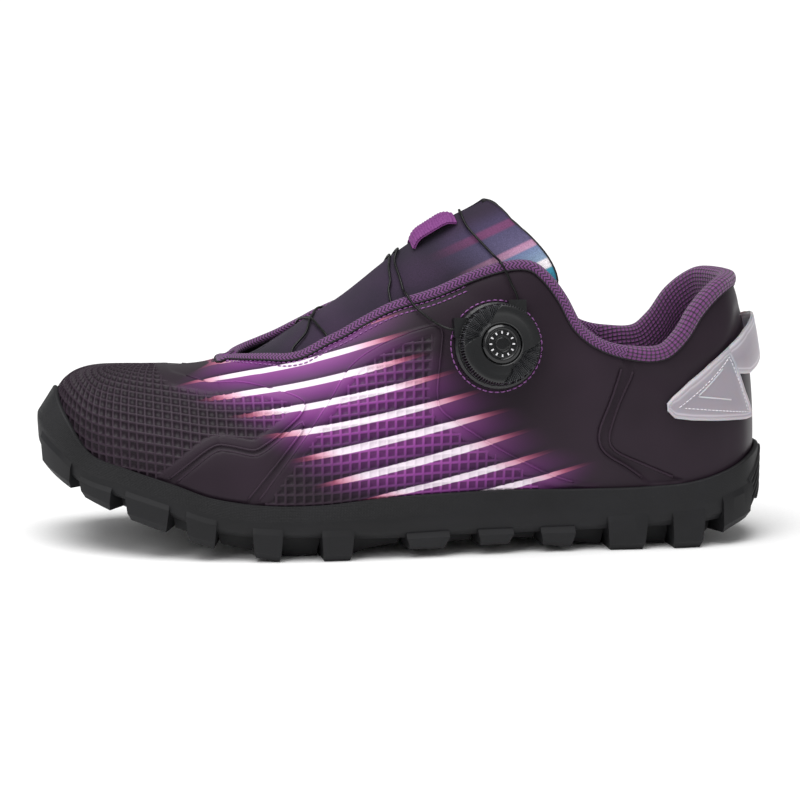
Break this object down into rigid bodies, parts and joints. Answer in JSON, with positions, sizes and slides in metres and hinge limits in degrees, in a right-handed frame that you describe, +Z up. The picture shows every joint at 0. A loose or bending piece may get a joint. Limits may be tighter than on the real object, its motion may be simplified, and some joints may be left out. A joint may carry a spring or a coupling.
{
  "type": "cycling shoe",
  "caption": "Low-cut cycling shoe with a moulded film upper, stretch tongue, cord dial, heel pull loop and lugged rubber sole.",
  "frame": {"origin": "middle of the bounding box, on the floor under the lugs", "axes": "+X towards the heel, -Y the lateral side with the dial, +Z up"},
  "size_m": [0.2902, 0.1061, 0.1354],
  "materials": {
    "film": "satin",
    "knit": "matte",
    "stretch": "matte",
    "webbing": "matte",
    "rubber": "matte",
    "foam": "matte",
    "hard": "satin",
    "cord": "satin",
    "clear": "satin"
  },
  "bodies": {
    "root": {"outsole": "rubber", "upper": "film", "insole": "foam", "tongue": "stretch", "collar_lining": "knit", "dial_base": "hard", "dial_knob": "hard", "dial_cap": "hard", "cord_rear": "cord", "cord_middle": "cord", "cord_return": "cord", "cord_front": "cord", "heel_loop": "clear", "tongue_tab": "webbing"}
  },
  "joints": []
}
